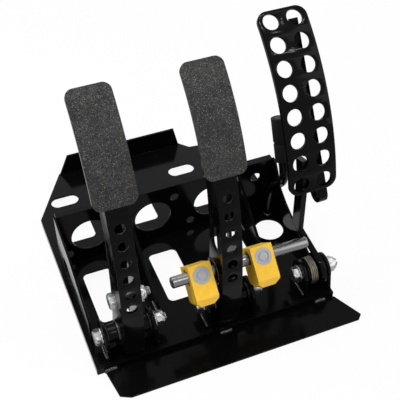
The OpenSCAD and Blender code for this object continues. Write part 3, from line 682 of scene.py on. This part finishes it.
class PEDALBOX_OT_fasteners(bpy.types.Operator):
    """Makes the pivot bolts, the clutch rod bolt and their lock nuts"""

    bl_idname = "pedal_box.fasteners"
    bl_label = "Fasteners"

    def execute(self, context):
        size = settings("fastener")
        zinc = FINISHES["zinc"]
        pivot_thread = 9 * MM
        rod_thread = 11 * MM
        tail = 2 * MM
        axis = np.array([0, PIVOT[1], PIVOT[2]])
        bolts = []
        nuts = []
        for ears in EARS:
            low, high = box_array(ears)
            left = low[0] - size.washer
            right = high[0] + size.washer
            end = right + size.nut + tail
            bolts.append((bolt_head(axis, left - size.head, left, size.flats), False, True))
            bolts += threaded_shank(axis, left, end, pivot_thread, size.shank, size.pitch)
            nuts.append((lock_nut(axis, right, right + size.nut, size.flats, size.shank), False, True))
        put_mesh("pivot_bolt_set", bolts, "frame", zinc, ("pedal_pivot_bolts", "throttle_pivot_bolt"))
        put_mesh("pivot_nut_set", nuts, "frame", zinc, ("pivot_nuts",))
        low, high = box_array("clutch_rod_bolt")
        left, right = box_array("clutch_arm")[:, 0]
        axis = np.array([0, *box_array("clutch_rod_nut").mean(0)[1:]])
        rod = [(bolt_head(axis, low[0], left, size.flats), False, True)]
        rod += threaded_shank(axis, left, high[0], rod_thread, size.shank, size.pitch)
        rod.append((lock_nut(axis, right, right + size.nut, size.flats, size.shank), False, True))
        put_mesh("clutch_rod_set", rod, "clutch_pedal", zinc, ("clutch_rod_bolt", "clutch_rod_nut"))
        return {"FINISHED"}


class PEDALBOX_OT_spring(bpy.types.Operator):
    """Makes the throttle's torsion spring, with its leg on the tray and its coil about the pivot beside the
    hub
    """

    bl_idname = "pedal_box.spring"
    bl_label = "Return Spring"

    def execute(self, context):
        size = settings("spring")
        hub = box_array("throttle_hub")
        start = hub[0, 0] + size.wire / 2 + 0.4 * MM
        step = size.wire + 0.15 * MM
        t = np.linspace(0.5, 0.5 + size.turns, size.turns * 48 + 1)
        turn = 2 * math.pi * t
        coil = np.stack(
            [start + step * t, PIVOT[1] + size.coil * np.sin(turn), PIVOT[2] + size.coil * np.cos(turn)], -1
        )
        foot = np.array([start, PIVOT[1] + size.leg, DECK + size.wire / 2 + 0.05 * MM])
        share = np.linspace(0, 1, 14)[:-1, None]
        leg = foot + (coil[0] - foot) * share
        wire = capped(np.concatenate([leg, coil]), size.wire / 2, sides=16)
        spring = put_mesh(
            "return_spring", [(wire, False, True)], None, FINISHES["spring_steel"],
            ("throttle_spring",),
        )
        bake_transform(spring)
        return {"FINISHED"}


def stop_foot(level):
    """Middle of the stop bar's foot at a level, in the corner of the right panel and the back plate."""
    reach = settings("spring").stop / 2
    beside = 3 * MM
    before = 6 * MM
    x = box_array("right_side_panel")[0, 0] - reach - beside
    y = box_array("back_plate")[0, 1] - reach - before
    return np.array([x, y, level])


class PEDALBOX_OT_stop(bpy.types.Operator):
    """Makes the throttle stop's bent bar: a cubic curve from its foot to its shoulder, then a straight tip"""

    bl_idname = "pedal_box.stop"
    bl_label = "Throttle Stop"

    def execute(self, context):
        size = settings("spring")
        foot = stop_foot(DECK)
        shoulder = np.array([THROTTLE_X, PIVOT[1], PIVOT[2]]) + np.array([-8, 53, 88.5]) * MM
        tip = np.array([0, 16, 40]) * MM
        top = shoulder + tip
        low = foot + np.array([0, 0, 70]) * MM
        mid = shoulder - 0.9 * (top - shoulder)
        t = np.linspace(0, 1, 60)[:, None]
        rise = (1 - t) ** 3 * foot + 3 * (1 - t) ** 2 * t * low + 3 * (1 - t) * t * t * mid + t**3 * shoulder
        straight = shoulder + (top - shoulder) * np.linspace(0, 1, 16)[1:, None]
        path = np.concatenate([rise, straight])
        radius = np.full(len(path), size.stop / 2)
        radius[-1] *= 0.9
        put_mesh(
            "stop_bar_bent", [(capped(path, radius, sides=36), False, True)], "frame", FINISHES["black_coat"],
            ("throttle_stop_bar",),
        )
        return {"FINISHED"}


class PEDALBOX_OT_welds(bpy.types.Operator):
    """Lays the weld beads of the frame and of the pedal tubes"""

    bl_idname = "pedal_box.welds"
    bl_label = "Weld Beads"

    def execute(self, context):
        weld = settings("weld")
        coat = FINISHES["weld_coat"]
        fold = box_array("heel_plate")[1, 1]
        heel = box_array("heel_plate")[1, 2]
        tray = box_array("floor_tray")
        beads = []

        def add(start, end, scale=1.0):
            beads.append((bead(start, end, weld.radius * scale, weld.ripple), False, True))

        seam = np.array([0, fold - 0.3 * MM, heel + 0.9 * MM])
        half = 6 * MM
        heavy = 1.25
        for x in (tray[0, 0] + 12 * MM, BRAKE_X - 4 * MM, tray[1, 0] - 14 * MM):
            add(seam + (x - half, 0, 0), seam + (x + half, 0, 0), heavy)
        inset = 3 * MM
        for ears in EARS:
            low, high = box_array(ears)
            for x in (low[0], high[0]):
                add((x, low[1] + inset, DECK), (x, high[1] - inset, DECK))
        near = 8 * MM
        front_far = 24 * MM
        back_far = 26 * MM
        light = 0.9
        for gusset in ("clutch_gusset", "brake_gusset"):
            low, high = box_array(gusset)
            for x in (low[0], high[0]):
                add((x, high[1] - back_far, DECK), (x, high[1] - near, DECK), light)
                add((x, low[1] + near, DECK), (x, low[1] + front_far, DECK), light)
                add((x, high[1], high[2] - back_far), (x, high[1], high[2] - near), light)
        put_mesh("frame_weld_beads", beads, "frame", coat)
        foot = stop_foot(box_array("throttle_stop_bar")[0, 2])
        collar = ring_bead(foot, 2, settings("spring").stop / 2, weld.radius * light, weld.ripple)
        put_mesh("stop_foot_bead", [(collar, True, True)], "frame", coat)
        welded = {
            "clutch": {"clutch_pivot_tube": 0.85},
            "brake": {"brake_pivot_tube": 0.85, "balance_tube": 0.35},
        }
        for pedal, tubes in welded.items():
            rings = []
            for tube, scale in tubes.items():
                low, high = box_array(tube)
                reach = (high[2] - low[2]) / 2
                for x in box_array(pedal + "_arm")[:, 0]:
                    middle = (x, (low[1] + high[1]) / 2, (low[2] + high[2]) / 2)
                    ring = ring_bead(middle, 0, reach, weld.radius * scale, weld.ripple)
                    rings.append((ring, True, True))
            put_mesh(pedal + "_tube_beads", rings, pedal + "_pedal", coat)
        return {"FINISHED"}


# Name, place, aim, size in metres and power in watts
LAMPS = (
    ("key_softbox", (-0.55, 0.35, 1.1), (0, 0.1, 0.05), 0.7, 8.0),
    ("fill_softbox", (0.9, -0.35, 0.7), (0, 0.1, 0.1), 0.8, 4.0),
    ("rim_softbox", (0.2, 1.1, 0.6), (0, 0.1, 0.1), 0.7, 1.5),
    ("top_lamp", (0.35, -0.2, 1.2), (0, 0.1, 0.05), 0.1, 2.2),
    ("side_lamp", (-0.75, 0.25, 0.75), (0, 0.1, 0.05), 0.08, 1.6),
    ("front_softbox", (-0.42, -0.78, 1.02), (0.02, 0.03, 0.06), 0.3, 2.5),
)


class PEDALBOX_OT_stage(bpy.types.Operator):
    """Sets the camera, the soft lights, the pale surroundings and the floor"""

    bl_idname = "pedal_box.stage"
    bl_label = "Stage"

    def execute(self, context):
        stage = settings("stage")
        scene = context.scene
        scene.view_settings.view_transform = "Standard"
        camera = bpy.data.objects.new("camera", bpy.data.cameras.new("camera"))
        scene.collection.objects.link(camera)
        camera.data.sensor_width = 36.0
        camera.data.lens = stage.lens
        camera.data.clip_start = 0.01
        camera.location = stage.eye
        flat = math.cos(stage.elevation)
        side = math.sin(stage.azimuth) * flat
        ahead = math.cos(stage.azimuth) * flat
        way = Vector((side, ahead, -math.sin(stage.elevation)))
        camera.rotation_euler = way.to_track_quat("-Z", "Y").to_euler()
        scene.camera = camera
        for row in LAMPS:
            lamp(*row)
        pale_world(scene, stage.ambient)
        pale_floor()
        return {"FINISHED"}


def lamp(name, place, aim, size, power):
    """A square soft light at a place, turned towards its aim."""
    light = bpy.data.lights.new(name, "AREA")
    light.size = size
    light.energy = power
    item = bpy.data.objects.new(name, light)
    bpy.context.scene.collection.objects.link(item)
    item.location = place
    item.rotation_euler = (Vector(aim) - Vector(place)).to_track_quat("-Z", "Y").to_euler()


def seen_or_mirrored(tree):
    """1 for rays from the camera, from gloss or through glass, and 0 for the rest."""
    rays = lay(tree, "ShaderNodeLightPath").outputs
    either = rays["Is Camera Ray"]
    for other in ("Is Glossy Ray", "Is Transmission Ray"):
        either = reckon(tree, "MAXIMUM", either, rays[other])
    return either


def pale_world(scene, ambient):
    """White where it is seen or mirrored, and a plain soft light elsewhere."""
    world = bpy.data.worlds.new("pale_surroundings")
    scene.world = world
    world.use_nodes = True
    tree = world.node_tree
    sky = first_of(tree, "BACKGROUND")
    sky.inputs["Color"].default_value = (1, 1, 1, 1)
    tree.links.new(ramp(tree, seen_or_mirrored(tree), 0.0, 1.0, ambient, 1.0), sky.inputs["Strength"])


def pale_floor():
    """A wide pale floor under the part, nearly white where it is seen, that keeps a soft shadow."""
    half = 6.0
    level = -0.2 * MM
    mesh = bpy.data.meshes.new("floor")
    corners = [(-half, -half, level), (half, -half, level), (half, half, level), (-half, half, level)]
    mesh.from_pydata(corners, [], [(0, 1, 2, 3)])
    floor = bpy.data.objects.new("floor", mesh)
    bpy.context.scene.collection.objects.link(floor)
    material = bpy.data.materials.new("pale_floor")
    material.use_nodes = True
    tree = material.node_tree
    shader = first_of(tree, "BSDF_PRINCIPLED")
    shader.inputs["Base Color"].default_value = (0.8, 0.8, 0.8, 1)
    shader.inputs["Roughness"].default_value = 0.9
    shader.inputs["Specular IOR Level"].default_value = 0.0
    white = lay(tree, "ShaderNodeEmission", {"Strength": 1.0}).outputs[0]
    whitened = 0.93
    share = reckon(tree, "MULTIPLY", seen_or_mirrored(tree), whitened)
    mixed = lay(tree, "ShaderNodeMixShader", {0: share, 1: shader.outputs[0], 2: white}).outputs[0]
    tree.links.new(mixed, first_of(tree, "OUTPUT_MATERIAL").inputs["Surface"])
    mesh.materials.append(material)


STEPS = ("finishes", "fasteners", "spring", "stop", "welds", "stage")


class PEDALBOX_PT_panel(bpy.types.Panel):
    """Lists the steps and their sizes"""

    bl_label = "Pedal Box"
    bl_idname = "PEDALBOX_PT_panel"
    bl_space_type = "VIEW_3D"
    bl_region_type = "UI"
    bl_category = "Pedal Box"

    def draw(self, context):
        for step in STEPS:
            self.layout.operator("pedal_box." + step)
        for kind in GROUPS:
            for name in GROUPS[kind].__annotations__:
                self.layout.prop(settings(kind), name)


GROUPS = {
    "coat": CoatSettings,
    "metal": MetalSettings,
    "grip": GripSettings,
    "fastener": FastenerSettings,
    "weld": WeldSettings,
    "spring": SpringSettings,
    "stage": StageSettings,
}
CLASSES = (
    *GROUPS.values(),
    PEDALBOX_OT_finishes,
    PEDALBOX_OT_fasteners,
    PEDALBOX_OT_spring,
    PEDALBOX_OT_stop,
    PEDALBOX_OT_welds,
    PEDALBOX_OT_stage,
    PEDALBOX_PT_panel,
)


def register():
    """Registers the classes and hangs each property group on the scene."""
    for item in CLASSES:
        bpy.utils.register_class(item)
    for kind, group in GROUPS.items():
        setattr(bpy.types.Scene, "pedal_box_" + kind, PointerProperty(type=group))


def unregister():
    """Takes the property groups off the scene and unregisters the classes."""
    for kind in GROUPS:
        delattr(bpy.types.Scene, "pedal_box_" + kind)
    for item in reversed(CLASSES):
        bpy.utils.unregister_class(item)


def main():
    """Registers the add-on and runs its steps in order."""
    register()
    for step in STEPS:
        getattr(bpy.ops.pedal_box, step)()


if __name__ == "__main__":
    main()
